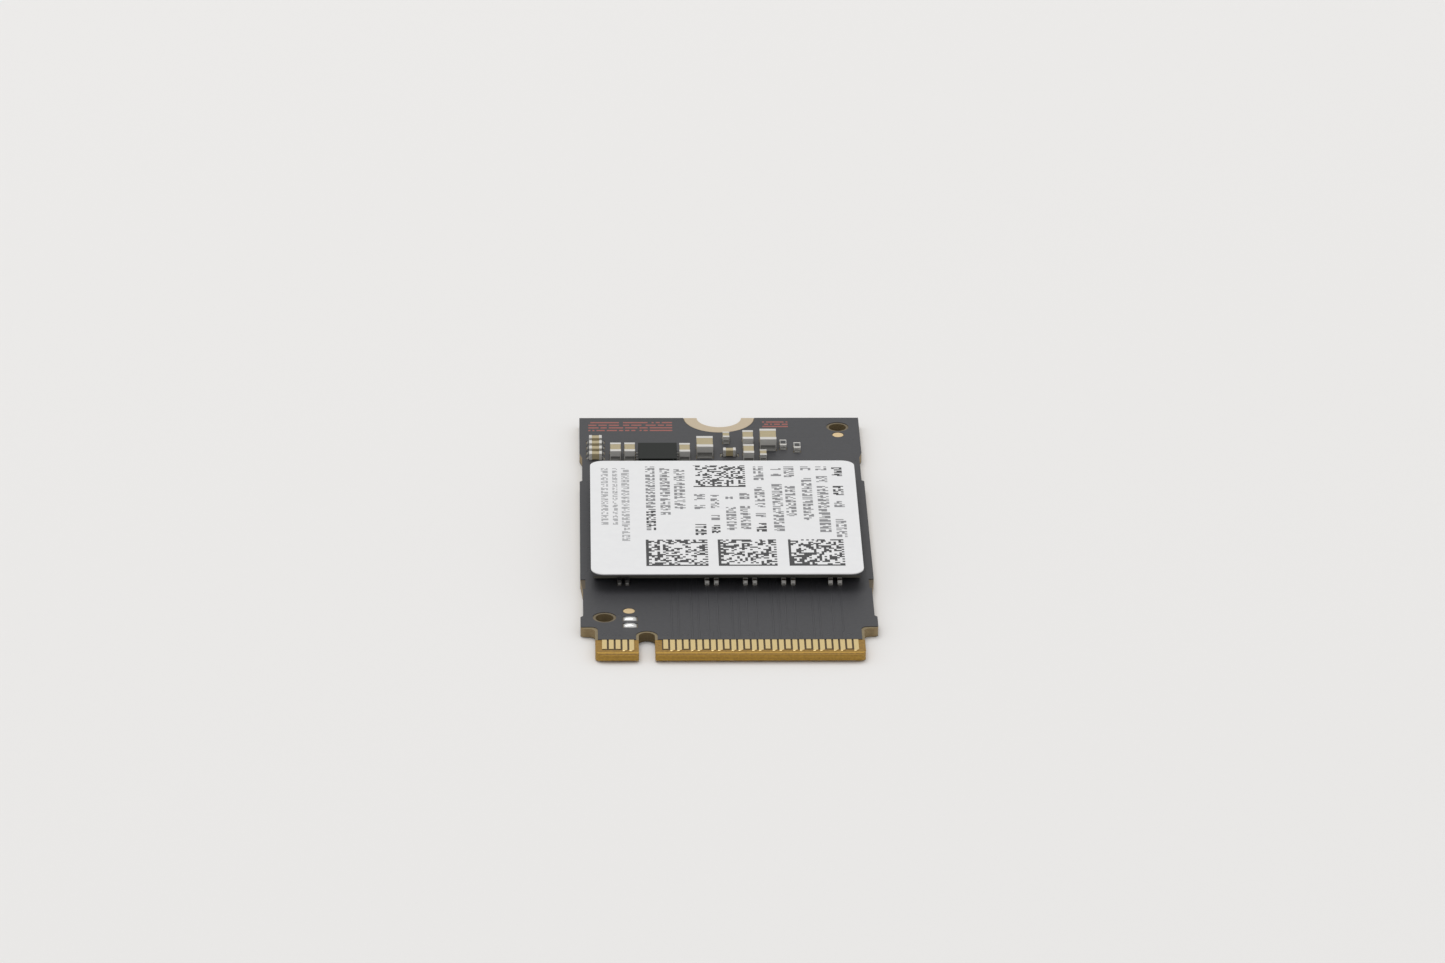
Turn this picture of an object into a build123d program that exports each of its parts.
from build123d import *
import math
import os

# A plug-in solid state drive card, one side populated.
# X runs along the contact edge, Y from the contact edge towards the screw notch, Z up from the underside.
# The origin is the middle of the card's outline on its underside.  All sizes are in millimetres.

# ---- Card outline ----
board_length = 42.0
board_width = 22.0
board_thickness = 0.80
tongue_width = 19.85           # the part that enters the socket
tongue_depth = 4.20            # contact edge to the shoulders
tongue_corner_radius = 0.60
shoulder_fillet = 0.50
ear_corner_radius = 0.35       # outer corner of each shoulder
bevel_length = 0.45            # lead-in bevel on both faces of the contact edge
bevel_height = 0.17
key_notch_x = -6.125
key_notch_width = 1.20
key_notch_depth = 3.50
key_mouth_radius = 0.28        # rounded corners where the key notch opens
screw_notch_radius = 1.75      # finished radius, inside the plating
screw_land_radius = 2.75       # gold ring under the screw head
side_relief_depth = 0.20       # shallow relief left where the card was held in its production panel
front_relief_start = 6.05      # from the contact edge
front_relief_end = 10.50
front_relief_runout = 2.10
rear_relief_start = 30.00
rear_relief_end = 34.50
rear_relief_runout = 0.80

# ---- Holes and bare marks ----
tooling_hole_radius = 0.675
front_tooling_x = -9.22
front_tooling_y = 6.01         # from the contact edge
rear_tooling_x = 9.30
rear_tooling_inset = 1.75      # from the far edge
fiducial_radius = 0.42
front_fiducial_x = -7.40
front_fiducial_y = 7.10
rear_fiducial_x = 9.29
rear_fiducial_inset = 3.26
test_pad_radius = 0.40
test_pad_pitch = 2.00
test_pad_columns = 5
test_pad_rows = 2
option_pad_length = 1.00       # solder-covered option pads beside the front tooling hole
option_pad_width = 0.65
option_pad_rise = 0.16
option_pad_x = -7.33
option_pad_front_y = 4.60
option_pad_pitch = 1.12

# ---- Layers ----
skin_thickness = 0.05          # outer copper and solder mask together
prepreg_thickness = 0.20
plane_thickness = 0.03
contact_thickness = 0.04
copper_thickness = 0.035       # outer lands and traces
wall_plating = 0.05            # plating on the wall of the screw notch
mask_pullback = 0.20           # bare laminate left round routed notches
tab_scar_front_y = 10.90       # where a panel tab was broken off each long side, from the contact edge
tab_scar_length = 1.60
tab_scar_depth = 0.18
hole_mask_pullback = 0.20
pad_mask_clearance = 0.05
plane_inset = 0.50             # planes stay back from routed edges
plane_front_y = 0.62           # from the contact edge

# ---- Edge contacts ----
contact_pitch = 0.50
contact_width = 0.35
contact_back_y = 2.27          # where the solder mask begins
ground_contact_front_y = 0.73
signal_contact_front_y = 0.40
contact_corner_cut = 0.20
first_top_contact_x = 9.25
top_contact_count = 38         # places, key gap included
key_gap_places = range(29, 33)
ground_places = (1, 4, 7, 10, 13, 16, 19, 22, 25, 28, 35, 36, 37)

# ---- Vias ----
via_radius = 0.125
via_plane_clearance = 0.15
edge_via_inset = 0.70
edge_via_pitch = 4.00
edge_via_front_y = 14.00
contact_via_y = 3.10
spare_via_x = -8.13
spare_via_y = 6.33

# ---- Lane traces and capacitors ----
trace_width = 0.12
lane_capacitor_y = 11.80       # middle, from the contact edge
lane_gap = 0.70                # between the two capacitors of a pair
# first contact place of each pair: how far the pair's middle sits to the side of its two contacts
lane_pair_shift = {2: 0.07, 8: -0.43, 14: -0.295, 20: -0.175}
direct_lane_places = (5, 11, 17, 23, 26)
direct_trace_reach = 0.30      # how far a trace without a capacitor runs in under the package
trace_straight = 1.20          # from the contact to the trace's sideways jog
sense_pair_x = -7.78
sense_pair_gap = 0.58
sense_pair_set_back = 0.10     # from the line of the lane capacitors

# ---- Memory package ----
package_width = 20.0
package_depth = 16.0
package_front_y = 12.30        # from the contact edge
package_standoff = 0.20        # card top to the substrate's underside
substrate_thickness = 0.20
mould_thickness = 0.80
mould_edge_chamfer = 0.05
ball_radius = 0.19
ball_pitch = 1.25
ball_columns = 15
ball_rows = 12
ball_rings = 3
thermal_ball_columns = 5
thermal_ball_rows = 4
ball_land_radius = 0.17
flash_die_width = 11.0
flash_die_depth = 9.0
flash_die_thickness = 0.06
flash_die_count = 8
flash_die_step = 0.22
flash_stack_x = -3.60
controller_die_width = 5.0
controller_die_depth = 4.4
controller_die_thickness = 0.15
controller_die_x = 6.00
bond_wire_width = 0.04
bond_wire_pitch = 0.45
bond_wire_reach = 0.70
bond_wire_loop = 0.10
bond_pad_inset = 0.10          # from the die's edge to the wire
die_margin = 0.40              # bare ends of a row of bond pads

# ---- Label ----
label_width = 20.40
label_depth = 20.44
label_corner_radius = 1.00
label_front_overhang = 1.50
adhesive_thickness = 0.04
label_film_thickness = 0.06

# ---- Power section ----
power_chip_size = 3.00
power_chip_height = 0.65
power_chip_edge_radius = 0.04
power_thermal_inset = 0.80     # from the chip's sides to the pad under its middle
power_chip_x = -4.93
power_pad_pitch = 0.50
power_pad_count = 5
power_pad_width = 0.26
power_pad_length = 0.32
power_pad_height = 0.15
inductor_length = 2.00
inductor_width = 1.60
inductor_height = 0.95
inductor_terminal = 0.45
inductor_terminal_height = 0.25
inductor_corner_radius = 0.10
inductor_top_chamfer = 0.05
inductor_land_inset = 0.10
bypass_column_inset = 1.25     # column of small capacitors, from the left side
notch_chip_gap = 1.55          # gold ring to the middle of the capacitor in front of it
crystal_length = 2.00
crystal_width = 1.60
crystal_height = 0.50
crystal_lid_height = 0.08
crystal_lid_inset = 0.12
crystal_pad_length = 0.55
crystal_pad_width = 0.50
crystal_pad_overhang = 0.05
crystal_corner_radius = 0.08
crystal_lid_corner_radius = 0.12
crystal_lid_edge_radius = 0.03

# ---- Two-terminal chip sizes: length, width, height, end length ----
tiny_chip = (0.60, 0.30, 0.30, 0.14)
small_chip = (1.00, 0.50, 0.50, 0.22)
medium_chip = (1.60, 0.80, 0.80, 0.32)
large_chip = (2.00, 1.25, 0.90, 0.40)
resistor_chip = (1.00, 0.50, 0.30, 0.22)
resistor_coat_thickness = 0.03
resistor_coat_inset = 0.04
end_wrap = 0.015               # the tinned ends stand this much proud of the body
body_edge_radius = 0.03
end_edge_radius = 0.04
solder_film = 0.02             # solder between a land and a chip's end
joint_reach = 0.18             # how far a solder fillet runs out past the chip
joint_climb = 0.45             # how far it climbs the chip's end, as a share of the chip's height
joint_side_inset = 0.04        # it stops clear of the end's rounded edges
joint_facets = 5               # flats that make up its hollow

# ---- Levels worked out from the sizes above ----
contact_edge = -board_length / 2
far_edge = board_length / 2
board_side = board_width / 2
laminate_bottom = skin_thickness
laminate_top = board_thickness - skin_thickness
core_bottom = laminate_bottom + prepreg_thickness
core_top = laminate_top - prepreg_thickness
land_top = laminate_top + copper_thickness
substrate_bottom = board_thickness + package_standoff
mould_bottom = substrate_bottom + substrate_thickness
package_top = mould_bottom + mould_thickness
package_rear_y = contact_edge + package_front_y + package_depth
package_middle_y = contact_edge + package_front_y + package_depth / 2
chip_bottom = land_top + solder_film
BEYOND = 1.0                   # how far a cutting shape runs past what it cuts

nodes = {}


def keep(name, shapes):
    """Store the separate solids of one sub-part."""
    solids = []
    for shape in shapes:
        solids.extend(shape.solids())
    nodes[name] = Compound(children=solids)


def block(x0, x1, y0, y1, z0, z1):
    """A box between two corners."""
    middle = Pos((x0 + x1) / 2, (y0 + y1) / 2, (z0 + z1) / 2)
    return middle * Box(abs(x1 - x0), abs(y1 - y0), abs(z1 - z0))


def disc(x, y, radius, z0, z1):
    """An upright cylinder between two levels."""
    return Pos(x, y, (z0 + z1) / 2) * Cylinder(radius, z1 - z0)


def flat(x0, x1, y0, y1):
    """A flat rectangle between two corners."""
    return Pos((x0 + x1) / 2, (y0 + y1) / 2) * Rectangle(abs(x1 - x0), abs(y1 - y0))


def raise_flat(sketch, z0, z1):
    """Extrude a flat shape between two levels."""
    return extrude(Pos(0, 0, z0) * sketch, z1 - z0)


# ---- Flat shapes shared by the layers ----
def key_notch(grow):
    """The key notch, open at the contact edge, grown by a margin."""
    radius = key_notch_width / 2 + grow
    centre_y = contact_edge + key_notch_depth - key_notch_width / 2
    slot = flat(key_notch_x - radius, key_notch_x + radius, contact_edge - BEYOND, centre_y)
    return slot + Pos(key_notch_x, centre_y) * Circle(radius)


def nearest_corner(shape, x, y):
    """The corner of a flat shape that is nearest to a point."""
    return shape.vertices().sort_by_distance((x, y, 0))[0]


def shoulder_cut(side, grow):
    """The corner taken off beside the tongue, with its inner corner rounded."""
    inner = tongue_width / 2 - grow
    back = contact_edge + tongue_depth + grow
    corner = flat(side * inner, side * (board_side + BEYOND), contact_edge - BEYOND, back)
    return fillet(nearest_corner(corner, side * inner, back), shoulder_fillet)


def side_relief(side, start, end, runout):
    """A shallow relief in a long side, square at its start and fading out at its end."""
    edge = side * board_side
    floor = side * (board_side - side_relief_depth)
    outer = side * (board_side + BEYOND)
    outline = Polyline(
        (outer, start),
        (edge, start),
        (floor, start + side_relief_depth),
        (floor, end),
        (edge, end + runout),
        (outer, end + runout),
        close=True,
    )
    return make_face(outline)


def tooling_holes(radius):
    """Both tooling holes as flat discs."""
    front = Pos(front_tooling_x, contact_edge + front_tooling_y) * Circle(radius)
    rear = Pos(rear_tooling_x, far_edge - rear_tooling_inset) * Circle(radius)
    return [front, rear]


def card_outline():
    """The routed outline with every notch and hole."""
    outline = Rectangle(board_width, board_length)
    for side in (-1, 1):
        outline -= shoulder_cut(side, 0)
        outline -= side_relief(
            side, contact_edge + front_relief_start, contact_edge + front_relief_end, front_relief_runout
        )
        outline -= side_relief(
            side, contact_edge + rear_relief_start, contact_edge + rear_relief_end, rear_relief_runout
        )
    tongue_corners = [nearest_corner(outline, side * tongue_width / 2, contact_edge) for side in (-1, 1)]
    outline = fillet(tongue_corners, tongue_corner_radius)
    ear_corners = [nearest_corner(outline, side * board_side, contact_edge + tongue_depth) for side in (-1, 1)]
    outline = fillet(ear_corners, ear_corner_radius)
    outline -= key_notch(0)
    mouth_corners = [
        nearest_corner(outline, key_notch_x + side * key_notch_width / 2, contact_edge) for side in (-1, 1)
    ]
    outline = fillet(mouth_corners, key_mouth_radius)
    notch_wall = screw_notch_radius + wall_plating
    return outline - [Pos(0, far_edge) * Circle(notch_wall)] - tooling_holes(tooling_hole_radius)


def bevel_wedges():
    """The material that the lead-in bevels take off the contact edge, above and below."""
    half = board_width
    wedges = []
    for face_z, inward in ((board_thickness, -1), (0, 1)):
        profile = make_face(
            Polyline(
                (contact_edge - BEYOND, face_z - inward * BEYOND),
                (contact_edge + bevel_length, face_z - inward * BEYOND),
                (contact_edge + bevel_length, face_z),
                (contact_edge, face_z + inward * bevel_height),
                (contact_edge - BEYOND, face_z + inward * bevel_height),
                close=True,
            )
        )
        upright = Plane((-half, 0, 0), x_dir=(0, 1, 0), z_dir=(1, 0, 0))
        wedges.append(extrude(upright * profile, 2 * half))
    return wedges


# ---- Places of everything soldered to the card: x, y, turned (True = lying along Y) ----
def contact_x(place):
    """Where a top contact is, counted from the right-hand end."""
    return first_top_contact_x - place * contact_pitch


lane_chips = []
lane_pairs = {place: contact_x(place + 0.5) + shift for place, shift in lane_pair_shift.items()}
for pair_x in lane_pairs.values():
    for side in (-1, 1):
        lane_chips.append((pair_x + side * lane_gap / 2, contact_edge + lane_capacitor_y, True))
sense_chips = [
    (sense_pair_x + side * sense_pair_gap / 2, contact_edge + lane_capacitor_y + sense_pair_set_back, True)
    for side in (-1, 1)
]
rear_strip = far_edge - package_rear_y


def strip_y(share):
    """A place in the strip behind the package: 0 at the package's rear, 1 at the far edge."""
    return package_rear_y + share * rear_strip


rear_row_y = strip_y(0.147)
bypass_chips = [(bypass_column_inset - board_side, strip_y(0.438 + 0.073 * step), False) for step in range(4)]
bypass_chips += [(0.47, far_edge - screw_land_radius - notch_chip_gap, True)]
bypass_chips += [(0.68, strip_y(0.482), False), (3.30, strip_y(0.440), True)]
bypass_chips += [(5.30 + 1.0 * step, rear_row_y, True) for step in range(3)]
bulk_chips = [(-8.20, strip_y(0.467), True), (-7.10, strip_y(0.467), True), (-2.82, strip_y(0.460), True)]
bulk_chips += [(2.16, strip_y(0.635), True), (2.16, strip_y(0.442), True)]
bulk_chips += [(-1.60 + 1.15 * step, rear_row_y, True) for step in range(3)]
tank_chips = [(-1.24, strip_y(0.525), True), (3.73, strip_y(0.625), True)]
resistors = [(4.91, strip_y(0.606), True), (5.99, strip_y(0.569), True)]
resistors += [(8.30 + 1.0 * step, rear_row_y, True) for step in range(2)]
inductor_places = [(-8.70 + 2.60 * step, rear_row_y) for step in range(3)]
crystal_place = (3.40, rear_row_y)


def turned_place(x, y, turned):
    """Where a part sits: at x, y, with its length along X, or along Y when turned."""
    return Pos(x, y, 0) * Rot(0, 0, 90 if turned else 0)


# ---- Two-terminal chips ----
def chip_body(size, turned_at):
    """The ceramic between the two ends."""
    length, width, height, end_length = size
    body = block(-length / 2 + end_length, length / 2 - end_length, -width / 2, width / 2, 0, height)
    long_edges = body.edges().filter_by(Axis.X)
    return turned_at * Pos(0, 0, chip_bottom + end_wrap) * fillet(long_edges, body_edge_radius)


def chip_ends(size, turned_at):
    """The two tinned ends, which wrap the body and so stand a little proud."""
    length, width, height, end_length = size
    half_width = width / 2 + end_wrap
    ends = []
    for side in (-1, 1):
        inner = side * (length / 2 - end_length)
        outer = side * length / 2
        end = block(inner, outer, -half_width, half_width, 0, height + 2 * end_wrap)
        outer_face = end.faces().sort_by(Axis.X)[-1 if side > 0 else 0]
        ends.append(turned_at * Pos(0, 0, chip_bottom) * fillet(outer_face.edges(), end_edge_radius))
    return ends


def end_lands(size, turned_at):
    """The copper land under each end, reaching past it for the solder fillet."""
    length, width, height, end_length = size
    lands = []
    for side in (-1, 1):
        inner = side * (length / 2 - end_length)
        outer = side * (length / 2 + joint_reach)
        lands.append(turned_at * block(inner, outer, -width / 2, width / 2, laminate_top, land_top))
    return lands


def end_joints(size, turned_at):
    """Solder under each end and its hollow fillet up the end's face."""
    length, width, height, end_length = size
    climb = chip_bottom + joint_climb * height
    joints = []
    for side in (-1, 1):
        inner = side * (length / 2 - end_length)
        outer = side * length / 2
        toe = side * (length / 2 + joint_reach)
        toe_top = land_top + solder_film / 2
        hollow = []
        for step in range(joint_facets):
            angle = math.pi / 2 * step / joint_facets
            hollow.append((outer + (toe - outer) * (1 - math.sin(angle)),
                           toe_top + (climb - toe_top) * (1 - math.cos(angle))))
        under = [(outer, climb), (outer, chip_bottom), (inner, chip_bottom), (inner, land_top), (toe, land_top)]
        profile = make_face(Polyline(*under, *hollow, close=True))
        joint_width = width - 2 * joint_side_inset
        upright = Plane((0, joint_width / 2, 0), x_dir=(1, 0, 0), z_dir=(0, -1, 0))
        joints.append(turned_at * extrude(upright * profile, joint_width))
    return joints


groups = {
    "lane_capacitor": (tiny_chip, lane_chips),
    "bypass_capacitor": (small_chip, bypass_chips),
    "bulk_capacitor": (medium_chip, bulk_chips),
    "tank_capacitor": (large_chip, tank_chips),
}
lands = []
joints = []
for name, (size, places) in groups.items():
    spots = [turned_place(*place) for place in places]
    keep(name + "_bodies", [chip_body(size, spot) for spot in spots])
    keep(name + "_ends", [end for spot in spots for end in chip_ends(size, spot)])
    for spot in spots:
        lands += end_lands(size, spot)
        joints += end_joints(size, spot)

resistor_spots = [turned_place(*place) for place in resistors]
keep("resistor_bodies", [chip_body(resistor_chip, spot) for spot in resistor_spots])
keep("resistor_ends", [end for spot in resistor_spots for end in chip_ends(resistor_chip, spot)])
coats = []
for spot in resistor_spots:
    length, width, height, end_length = resistor_chip
    coat_bottom = chip_bottom + end_wrap + height
    half_length = length / 2 - end_length
    half_width = width / 2 - resistor_coat_inset
    coats.append(
        spot * block(-half_length, half_length, -half_width, half_width, coat_bottom,
                     coat_bottom + resistor_coat_thickness)
    )
    lands += end_lands(resistor_chip, spot)
    joints += end_joints(resistor_chip, spot)
keep("resistor_coats", coats)

sense_spots = [turned_place(*place) for place in sense_chips]
keep("sense_resistor_bodies", [chip_body(tiny_chip, spot) for spot in sense_spots])
keep("sense_resistor_ends", [end for spot in sense_spots for end in chip_ends(tiny_chip, spot)])
for spot in sense_spots:
    lands += end_lands(tiny_chip, spot)
    joints += end_joints(tiny_chip, spot)


# ---- Power inductors: a pressed block with a flat terminal under each end ----
inductor_blocks = []
inductor_ends = []
for x, y in inductor_places:
    spot = Pos(x, y, chip_bottom)
    whole = block(-inductor_length / 2, inductor_length / 2, -inductor_width / 2, inductor_width / 2,
                  0, inductor_height)
    whole = fillet(whole.edges().filter_by(Axis.Z), inductor_corner_radius)
    whole = chamfer(whole.faces().sort_by(Axis.Z)[-1].edges(), inductor_top_chamfer)
    terminals = []
    for side in (-1, 1):
        inner = side * (inductor_length / 2 - inductor_terminal)
        outer = side * (inductor_length / 2 + BEYOND)
        slab = block(inner, outer, -inductor_width / 2, inductor_width / 2, 0, inductor_terminal_height)
        terminals.append(whole & slab)
        land_side = inductor_width / 2 - inductor_land_inset
        land_sides = (inner, side * inductor_length / 2, -land_side, land_side)
        lands.append(Pos(x, y, 0) * block(*land_sides, laminate_top, land_top))
        joints.append(Pos(x, y, 0) * block(*land_sides, land_top, chip_bottom))
    inductor_blocks.append(spot * (whole - terminals))
    inductor_ends += [spot * terminal for terminal in terminals]
keep("inductor_bodies", inductor_blocks)
keep("inductor_terminals", inductor_ends)

# ---- Quartz crystal: ceramic base, welded metal lid, four pads ----
crystal_x, crystal_y = crystal_place
crystal_spot = Pos(crystal_x, crystal_y, chip_bottom)
base = block(-crystal_length / 2, crystal_length / 2, -crystal_width / 2, crystal_width / 2, 0, crystal_height)
keep("crystal_base", [crystal_spot * fillet(base.edges().filter_by(Axis.Z), crystal_corner_radius)])
lid_x = crystal_length / 2 - crystal_lid_inset
lid_y = crystal_width / 2 - crystal_lid_inset
lid = block(-lid_x, lid_x, -lid_y, lid_y, crystal_height, crystal_height + crystal_lid_height)
lid = fillet(lid.edges().filter_by(Axis.Z), crystal_lid_corner_radius)
lid = fillet(lid.faces().sort_by(Axis.Z)[-1].edges(), crystal_lid_edge_radius)
keep("crystal_lid", [crystal_spot * lid])
for side_x in (-1, 1):
    for side_y in (-1, 1):
        outer_x = side_x * (crystal_length / 2 + crystal_pad_overhang)
        outer_y = side_y * (crystal_width / 2 + crystal_pad_overhang)
        inner_x = outer_x - side_x * crystal_pad_length
        inner_y = outer_y - side_y * crystal_pad_width
        lands.append(Pos(crystal_x, crystal_y, 0) * block(inner_x, outer_x, inner_y, outer_y,
                                                          laminate_top, land_top))
        joints.append(Pos(crystal_x, crystal_y, 0) * block(inner_x, outer_x, inner_y, outer_y,
                                                           land_top, chip_bottom))

# ---- Power chip: moulded body with flush leads on four sides and a thermal pad ----
power_y = strip_y(0.442)
power_spot = Pos(power_chip_x, power_y, chip_bottom)
half_chip = power_chip_size / 2
chip = block(-half_chip, half_chip, -half_chip, half_chip, 0, power_chip_height)
chip = fillet(chip.faces().sort_by(Axis.Z)[-1].edges(), power_chip_edge_radius)
leads = []
for quarter in range(4):
    turn = Rot(0, 0, 90 * quarter)
    for place in range(power_pad_count):
        lead_x = (place - (power_pad_count - 1) / 2) * power_pad_pitch
        lead_sides = (lead_x - power_pad_width / 2, lead_x + power_pad_width / 2)
        lead_inner = -half_chip + power_pad_length
        leads.append(turn * block(*lead_sides, -half_chip, lead_inner, 0, power_pad_height))
        toe = -half_chip - joint_reach
        lands.append(Pos(power_chip_x, power_y, 0) * turn * block(*lead_sides, toe, lead_inner,
                                                                  laminate_top, land_top))
        joints.append(Pos(power_chip_x, power_y, 0) * turn * block(*lead_sides, toe, lead_inner,
                                                                   land_top, chip_bottom))
half_thermal = half_chip - power_thermal_inset
leads.append(block(-half_thermal, half_thermal, -half_thermal, half_thermal, 0, power_pad_height))
lands.append(Pos(power_chip_x, power_y, 0) * block(-half_thermal, half_thermal, -half_thermal, half_thermal,
                                                   laminate_top, land_top))
joints.append(Pos(power_chip_x, power_y, 0) * block(-half_thermal, half_thermal, -half_thermal, half_thermal,
                                                    land_top, chip_bottom))
keep("power_chip_body", [power_spot * (chip - leads)])
keep("power_chip_leads", [power_spot * lead for lead in leads])

# ---- Memory package ----
half_width = package_width / 2
half_depth = package_depth / 2
substrate = block(-half_width, half_width, package_middle_y - half_depth, package_middle_y + half_depth,
                  substrate_bottom, mould_bottom)
keep("package_substrate", [substrate])

ball_places = []
for column in range(ball_columns):
    for row in range(ball_rows):
        ring = min(column, row, ball_columns - 1 - column, ball_rows - 1 - row)
        x = (column - (ball_columns - 1) / 2) * ball_pitch
        y = package_middle_y + (row - (ball_rows - 1) / 2) * ball_pitch
        if ring < ball_rings:
            ball_places.append((x, y))
for column in range(thermal_ball_columns):
    for row in range(thermal_ball_rows):
        x = (column - (thermal_ball_columns - 1) / 2) * ball_pitch
        y = package_middle_y + (row - (thermal_ball_rows - 1) / 2) * ball_pitch
        ball_places.append((x, y))
ball_height = substrate_bottom - land_top
ball = Sphere(ball_radius) & Box(1, 1, ball_height)
ball_middle_z = land_top + ball_height / 2
keep("package_solder_balls", [Pos(x, y, ball_middle_z) * ball for x, y in ball_places])
ball_lands = [disc(x, y, ball_land_radius, laminate_top, land_top) for x, y in ball_places]

dies = []
for level in range(flash_die_count):
    front = package_middle_y - flash_die_depth / 2 + (level - (flash_die_count - 1) / 2) * flash_die_step
    z = mould_bottom + level * flash_die_thickness
    dies.append(block(flash_stack_x - flash_die_width / 2, flash_stack_x + flash_die_width / 2,
                      front, front + flash_die_depth, z, z + flash_die_thickness))
keep("flash_die_stack", dies)
controller_die = block(controller_die_x - controller_die_width / 2, controller_die_x + controller_die_width / 2,
                       package_middle_y - controller_die_depth / 2, package_middle_y + controller_die_depth / 2,
                       mould_bottom, mould_bottom + controller_die_thickness)
keep("controller_die", [controller_die])


def wire_row(first_x, last_x, pad_y, die_top, foot_y, foot_crest):
    """Bond wires side by side along X: up from a die's pad, over, and down to the substrate."""
    inward = math.copysign(bond_wire_width, pad_y - foot_y)
    crest = die_top + bond_wire_loop
    outside = [(pad_y, die_top), (pad_y, crest), (foot_y, foot_crest), (foot_y, mould_bottom)]
    inside = [(foot_y + inward, mould_bottom), (foot_y + inward, foot_crest - bond_wire_width),
              (pad_y - inward, crest - bond_wire_width), (pad_y - inward, die_top)]
    profile = make_face(Polyline(*outside, *inside, close=True))
    count = int((last_x - first_x) / bond_wire_pitch) + 1
    row = []
    for index in range(count):
        upright = Plane((first_x + index * bond_wire_pitch, 0, 0), x_dir=(0, 1, 0), z_dir=(1, 0, 0))
        row.append(extrude(upright * profile, bond_wire_width))
    return row


flash_top = mould_bottom + flash_die_count * flash_die_thickness
stack_spread = (flash_die_count - 1) * flash_die_step
top_die_front = package_middle_y - flash_die_depth / 2 + stack_spread / 2
controller_top = mould_bottom + controller_die_thickness
wires = wire_row(
    flash_stack_x - flash_die_width / 2 + die_margin,
    flash_stack_x + flash_die_width / 2 - die_margin,
    top_die_front + bond_pad_inset,
    flash_top,
    top_die_front - stack_spread - bond_wire_reach,
    mould_bottom + 2 * bond_wire_loop,
)
for side in (-1, 1):
    die_edge = package_middle_y + side * controller_die_depth / 2
    wires += wire_row(
        controller_die_x - controller_die_width / 2 + die_margin,
        controller_die_x + controller_die_width / 2 - die_margin,
        die_edge - side * bond_pad_inset,
        controller_top,
        die_edge + side * bond_wire_reach,
        controller_top + bond_wire_loop,
    )
keep("bond_wires", wires)
mould = block(-half_width, half_width, package_middle_y - half_depth, package_middle_y + half_depth,
              mould_bottom, package_top)
mould = chamfer(mould.faces().sort_by(Axis.Z)[-1].edges(), mould_edge_chamfer)
keep("package_mould", [mould - dies - [controller_die] - wires])

# ---- Label ----
label_front = contact_edge + package_front_y - label_front_overhang
label_outline = RectangleRounded(label_width, label_depth, label_corner_radius)
label_shape = Pos(0, label_front + label_depth / 2) * label_outline
adhesive_top = package_top + adhesive_thickness
keep("label_adhesive", [raise_flat(label_shape, package_top, adhesive_top)])
keep("label_film", [raise_flat(label_shape, adhesive_top, adhesive_top + label_film_thickness)])

# ---- Edge contacts ----
wedges = bevel_wedges()


def contact(x, ground, z0, z1, clipped_side):
    """One contact; a signal contact is longer and has a corner of its front end clipped."""
    left = x - contact_width / 2
    right = x + contact_width / 2
    back = contact_edge + contact_back_y
    if ground:
        return raise_flat(flat(left, right, contact_edge + ground_contact_front_y, back), z0, z1)
    front = contact_edge + signal_contact_front_y
    if clipped_side > 0:
        nose = [(left, front), (right - contact_corner_cut, front), (right, front + contact_corner_cut)]
    else:
        nose = [(left, front + contact_corner_cut), (left + contact_corner_cut, front), (right, front)]
    return raise_flat(make_face(Polyline(*nose, (right, back), (left, back), close=True)), z0, z1)


contact_top_z = laminate_top + contact_thickness
contact_bottom_z = laminate_bottom - contact_thickness
top_contacts = []
bottom_contacts = []
for place in range(top_contact_count):
    if place in key_gap_places:
        continue
    top_contacts.append(contact(contact_x(place), place in ground_places, laminate_top, contact_top_z, 1) - wedges)
for place in range(top_contact_count - 1):
    if place in key_gap_places:
        continue
    bottom_contacts.append(contact(contact_x(place + 0.5), False, contact_bottom_z, laminate_bottom, -1) - wedges)
keep("edge_contacts_top", top_contacts)
keep("edge_contacts_bottom", bottom_contacts)


# ---- Traces from the contacts to the lane capacitors, and past them under the package ----
def lane_trace(from_x, to_x, end_y):
    """A trace that leaves a contact, jogs sideways at 45 degrees and runs on straight."""
    start_y = contact_edge + contact_back_y
    jog_start = start_y + trace_straight
    jog_end = jog_start + abs(to_x - from_x)
    half = trace_width / 2
    path = [(from_x, start_y), (from_x, jog_start), (to_x, jog_end), (to_x, end_y)]
    if abs(to_x - from_x) < 0.01:
        shape = flat(from_x - half, from_x + half, start_y, end_y)
    else:
        lean = half * math.tan(math.radians(22.5)) * math.copysign(1, to_x - from_x)
        left = [(path[0][0] - half, start_y), (from_x - half, jog_start + lean), (to_x - half, jog_end + lean),
                (to_x - half, end_y)]
        right = [(to_x + half, end_y), (to_x + half, jog_end - lean), (from_x + half, jog_start - lean),
                 (from_x + half, start_y)]
        shape = make_face(Polyline(*(left + right), close=True))
    return raise_flat(shape, laminate_top, land_top)


traces = []
capacitor_front = contact_edge + lane_capacitor_y - tiny_chip[0] / 2 - joint_reach
for place, pair_x in lane_pairs.items():
    for offset, side in ((0, 1), (1, -1)):
        traces.append(lane_trace(contact_x(place + offset), pair_x + side * lane_gap / 2, capacitor_front))
for place in direct_lane_places:
    for offset in (0, 1):
        x = contact_x(place + offset)
        traces.append(lane_trace(x, x, contact_edge + package_front_y + direct_trace_reach))
keep("signal_traces", traces)

# ---- Bare gold marks, test pads and option pads ----
fiducials = [
    disc(front_fiducial_x, contact_edge + front_fiducial_y, fiducial_radius, laminate_top, land_top),
    disc(rear_fiducial_x, far_edge - rear_fiducial_inset, fiducial_radius, laminate_top, land_top),
]
keep("fiducials", fiducials)

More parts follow.
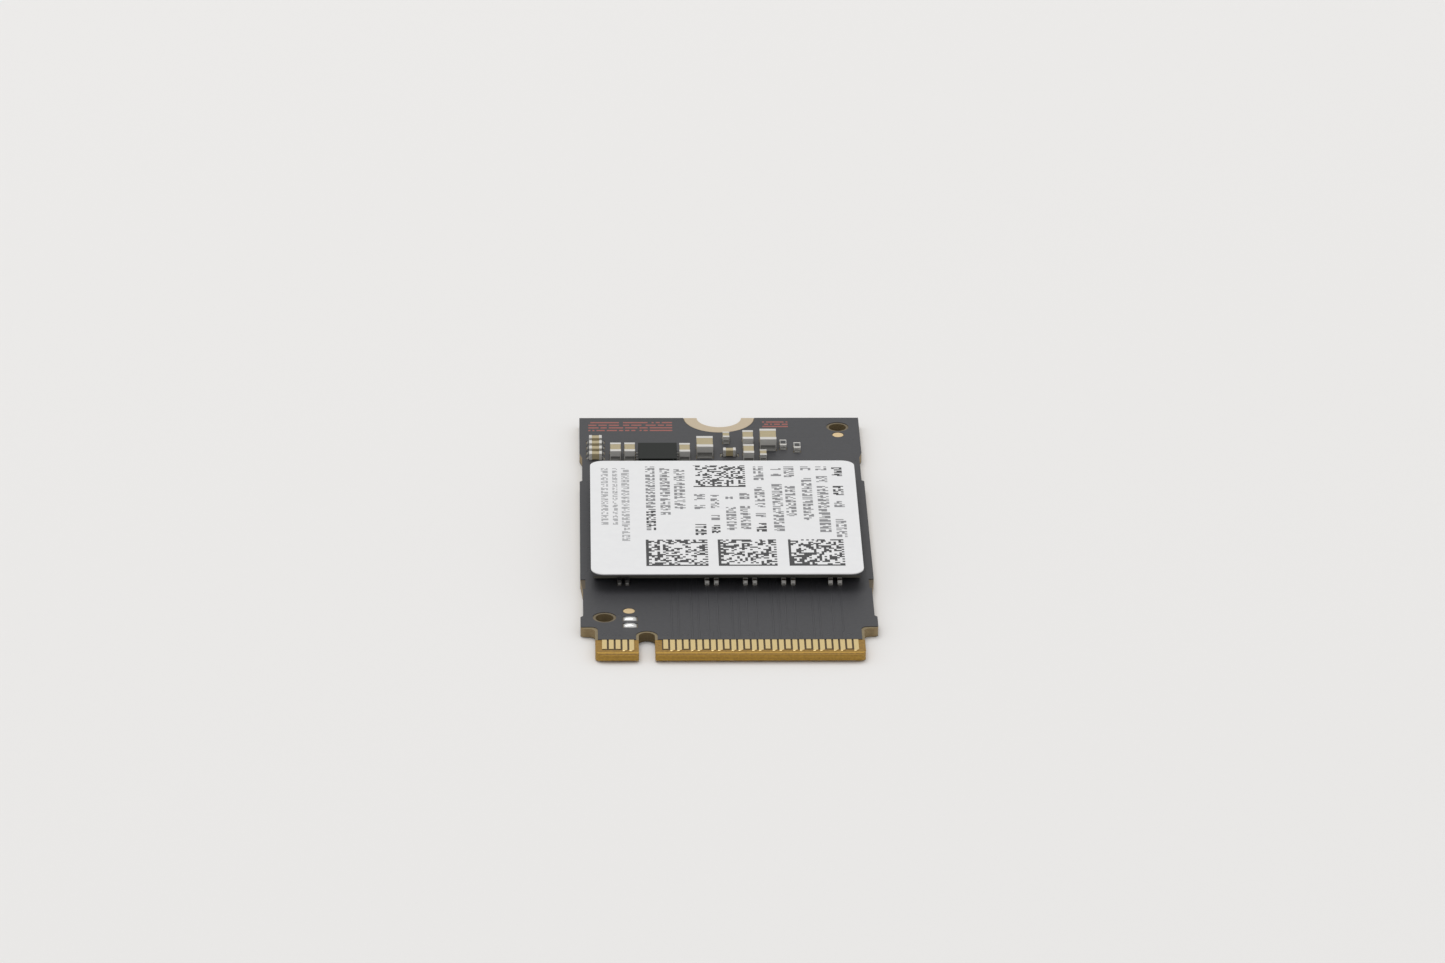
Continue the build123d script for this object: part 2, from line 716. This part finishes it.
test_pads = []
for column in range(test_pad_columns):
    for row in range(test_pad_rows):
        x = (column - (test_pad_columns - 1) / 2) * test_pad_pitch
        y = far_edge - screw_land_radius - test_pad_pitch * (row + 1)
        test_pads.append(disc(x, y, test_pad_radius, laminate_bottom - copper_thickness, laminate_bottom))
keep("test_pads", test_pads)

option_lands = []
option_domes = []
for index in range(2):
    y = contact_edge + option_pad_front_y + index * option_pad_pitch
    half_length = option_pad_length / 2
    half_pad = option_pad_width / 2
    sides = (option_pad_x - half_length, option_pad_x + half_length, y - half_pad, y + half_pad)
    option_lands.append(block(*sides, laminate_top, land_top))
    dome_radius = (half_pad ** 2 + option_pad_rise ** 2) / (2 * option_pad_rise)
    barrel = Pos(option_pad_x, y, land_top + option_pad_rise - dome_radius) * Rot(0, 90, 0) * Cylinder(
        dome_radius, option_pad_length)
    slab = block(*sides, land_top, land_top + option_pad_rise + BEYOND)
    option_domes.append(barrel & slab)
lands += option_lands
keep("option_pad_solder", option_domes)
keep("component_lands", lands + ball_lands)
keep("solder_joints", joints)

# ---- Plated vias ----
via_places = [(spare_via_x, contact_edge + spare_via_y)]
for place in ground_places:
    via_places.append((contact_x(place), contact_edge + contact_via_y))
edge_via_count = int((board_length - edge_via_front_y - screw_land_radius) / edge_via_pitch) + 1
for step in range(edge_via_count):
    for side in (-1, 1):
        via_places.append((side * (board_side - edge_via_inset),
                           contact_edge + edge_via_front_y + step * edge_via_pitch))
vias = [disc(x, y, via_radius, laminate_bottom, laminate_top) for x, y in via_places]
keep("plated_vias", vias)


# ---- Inner copper planes ----
def plane_shape():
    """A copper plane, set back from every routed edge."""
    tongue_side = tongue_width / 2 - plane_inset
    body_side = board_side - plane_inset
    shoulder = contact_edge + tongue_depth + plane_inset
    shape = flat(-tongue_side, tongue_side, contact_edge + plane_front_y, shoulder)
    shape += flat(-body_side, body_side, shoulder, far_edge - plane_inset)
    shape -= key_notch(plane_inset)
    shape -= Pos(0, far_edge) * Circle(screw_notch_radius + wall_plating + plane_inset)
    return shape - tooling_holes(tooling_hole_radius + plane_inset)


ground_plane = raise_flat(plane_shape(), core_top - plane_thickness, core_top) - vias
power_gaps = [disc(x, y, via_radius + via_plane_clearance, core_bottom - BEYOND, core_bottom + BEYOND)
              for x, y in via_places]
power_plane = raise_flat(plane_shape(), core_bottom, core_bottom + plane_thickness) - power_gaps
keep("ground_plane", [ground_plane])
keep("power_plane", [power_plane])

# ---- Laminate ----
outline = card_outline()
laminate = raise_flat(outline, laminate_bottom, laminate_top) - wedges
reach = board_length
prepreg_bottom = laminate & block(-reach, reach, -reach, reach, laminate_bottom, core_bottom)
core = laminate & block(-reach, reach, -reach, reach, core_bottom, core_top)
prepreg_top = laminate & block(-reach, reach, -reach, reach, core_top, laminate_top)
keep("prepreg_bottom", [prepreg_bottom - vias])
keep("laminate_core", [core - [ground_plane, power_plane] - vias])
keep("prepreg_top", [prepreg_top - vias])

# ---- Plating round the screw notch ----
land_ring = (Pos(0, far_edge) * Circle(screw_land_radius)) & flat(-board_side, board_side, 0, far_edge)
notch_opening = disc(0, far_edge, screw_notch_radius, -BEYOND, board_thickness + BEYOND)
barrel_shape = (Pos(0, far_edge) * Circle(screw_notch_radius + wall_plating)) & flat(
    -board_side, board_side, 0, far_edge)
plating = raise_flat(land_ring, laminate_top, land_top)
plating += raise_flat(land_ring, laminate_bottom - copper_thickness, laminate_bottom)
plating += raise_flat(barrel_shape, laminate_bottom - copper_thickness, land_top)
keep("screw_notch_plating", [plating - notch_opening])


# ---- Solder mask ----
def mask_shape():
    """The solder mask, back from the contacts, the routed notches, the holes and the screw ring."""
    shape = outline & flat(-board_width, board_width, contact_edge + contact_back_y, far_edge)
    shape -= key_notch(mask_pullback)
    for side in (-1, 1):
        shape -= shoulder_cut(side, mask_pullback)
    scar_front = contact_edge + tab_scar_front_y
    for side in (-1, 1):
        scar_inner = side * (board_side - side_relief_depth - tab_scar_depth)
        shape -= flat(scar_inner, side * board_width, scar_front, scar_front + tab_scar_length)
    shape -= tooling_holes(tooling_hole_radius + hole_mask_pullback)
    return shape - Pos(0, far_edge) * Circle(screw_land_radius + pad_mask_clearance)


def widened(shape, grow, z0, z1):
    """A box or disc opening round a land, larger than it by a margin."""
    size = shape.bounding_box()
    return block(size.min.X - grow, size.max.X + grow, size.min.Y - grow, size.max.Y + grow, z0, z1)


gap = pad_mask_clearance
top_z = (laminate_top - BEYOND, board_thickness + BEYOND)
bottom_z = (-BEYOND, laminate_bottom + BEYOND)
openings = [widened(land, gap, *top_z) for land in lands]
openings += [disc(x, y, ball_radius + gap / 2, *top_z) for x, y in ball_places]
openings += [
    disc(front_fiducial_x, contact_edge + front_fiducial_y, fiducial_radius + gap, *top_z),
    disc(rear_fiducial_x, far_edge - rear_fiducial_inset, fiducial_radius + gap, *top_z),
]
mask_top = raise_flat(mask_shape(), laminate_top, board_thickness)
keep("solder_mask_top", [mask_top - openings - traces])
pad_openings = []
for pad in test_pads:
    middle = pad.center()
    pad_openings.append(disc(middle.X, middle.Y, test_pad_radius + gap, *bottom_z))
keep("solder_mask_bottom", [raise_flat(mask_shape(), 0, laminate_bottom) - pad_openings])

# ---- Files ----
os.makedirs("parts", exist_ok=True)
for name, shape in nodes.items():
    export_step(shape, f"parts/{name}.step")
print(len(nodes), "sub-parts")
